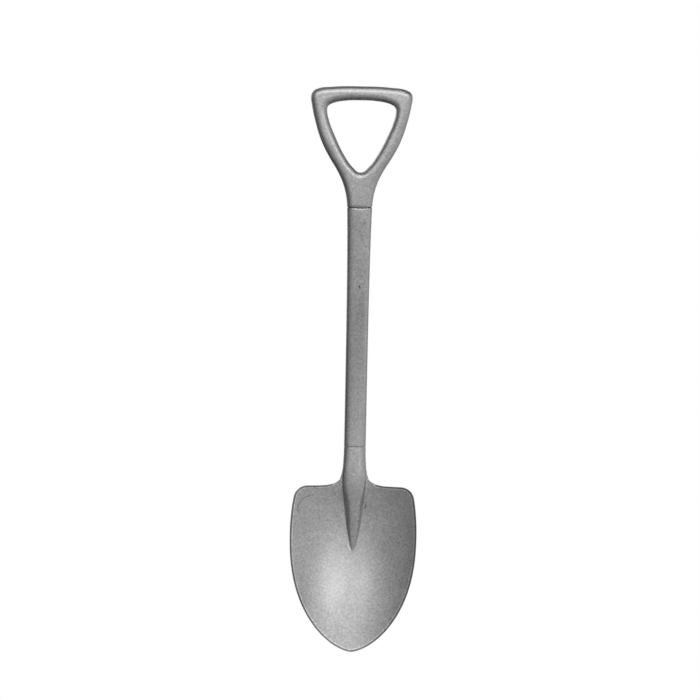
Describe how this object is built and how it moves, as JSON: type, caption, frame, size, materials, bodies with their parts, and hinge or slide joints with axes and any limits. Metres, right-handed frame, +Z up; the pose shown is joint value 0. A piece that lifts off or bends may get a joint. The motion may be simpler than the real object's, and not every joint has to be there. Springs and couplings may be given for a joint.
{
  "type": "hand digging shovel",
  "caption": "Compact all-steel digging shovel with a closed D-shaped grip, a flattened oval shaft and a dished, round-point blade.",
  "frame": {"origin": "the middle of the underside of the grip's crossbar, on the shaft's axis, where a peg or hook holds the shovel", "axes": "+Z runs up the shaft from the blade to the grip, the hollow front of the blade faces -Y, and +X is to the right of someone facing that front"},
  "size_m": [0.1568, 0.0248, 0.7],
  "materials": {
    "tumbled_steel": "satin, tumbled",
    "cast_steel": "satin, tumbled",
    "pin_steel": "satin, ground flush"
  },
  "bodies": {
    "root": {"blade": "tumbled_steel", "shaft_tube": "tumbled_steel", "d_grip": "cast_steel", "grip_pin_upper": "pin_steel", "grip_pin_lower": "pin_steel", "socket_pin_upper": "pin_steel", "socket_pin_lower": "pin_steel"}
  },
  "joints": []
}
